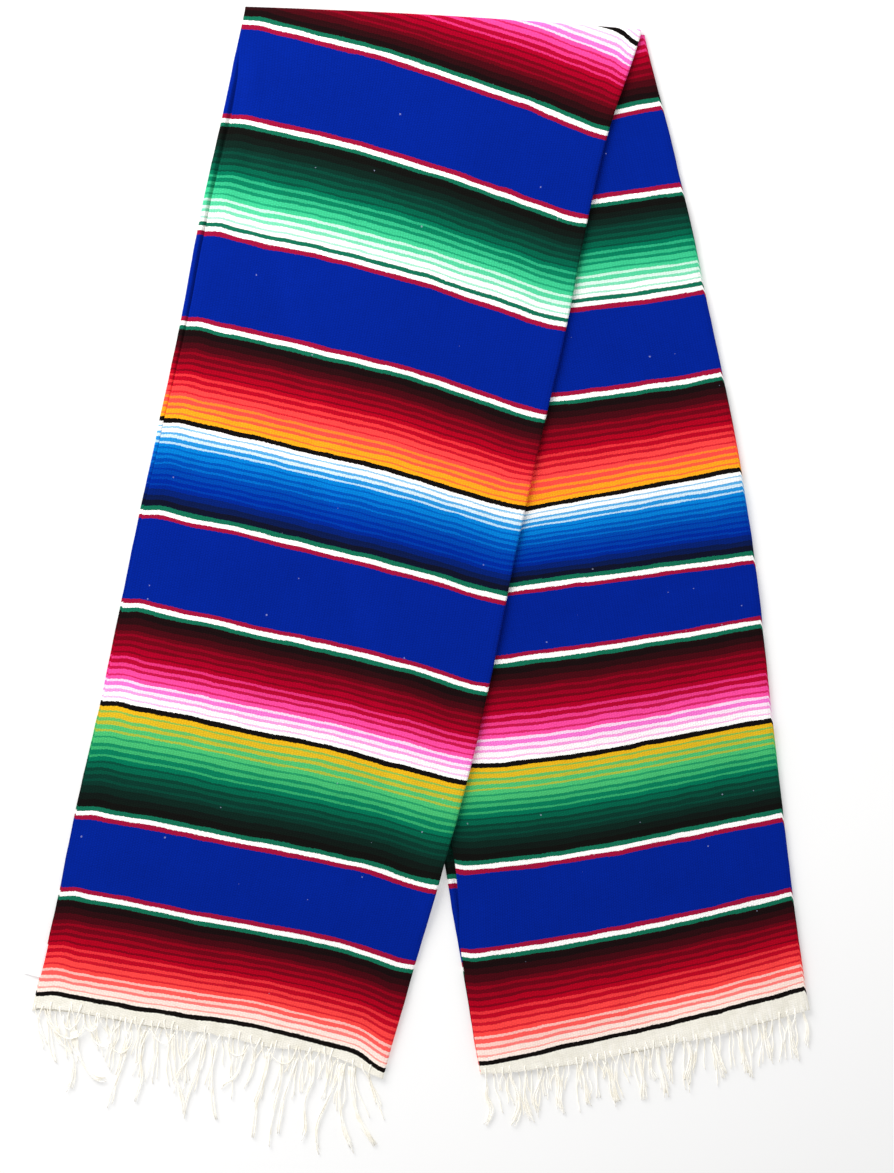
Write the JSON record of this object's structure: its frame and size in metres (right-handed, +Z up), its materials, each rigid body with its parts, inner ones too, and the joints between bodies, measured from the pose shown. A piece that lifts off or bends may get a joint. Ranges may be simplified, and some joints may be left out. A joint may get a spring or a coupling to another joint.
{
  "type": "folded mexican serape",
  "caption": "Fringed woven serape, doubled along its length and folded across its middle into a narrow inverted V, lying flat.",
  "frame": {"origin": "on the surface that the cloth lies on, under the middle of the whole folded serape", "axes": "+Z up, +Y along the folded serape towards the cross fold, +X to the right as seen from above with the cross fold away from the viewer"},
  "size_m": [0.7148, 1.0421, 0.0089],
  "materials": {
    "woven_web": "matt weft-faced weave in dyed yarn, striped across",
    "warp_fringe": "matt undyed spun yarn",
    "tag_ribbon": "smooth blank ribbon"
  },
  "bodies": {
    "root": {"upper_panel_visible_layer": "woven_web", "upper_panel_hidden_layer": "woven_web", "lower_panel_visible_layer": "woven_web", "lower_panel_hidden_layer": "woven_web", "upper_visible_fringe": "warp_fringe", "upper_hidden_fringe": "warp_fringe", "lower_visible_fringe": "warp_fringe", "lower_hidden_fringe": "warp_fringe", "selvedge_tag": "tag_ribbon"}
  },
  "joints": []
}
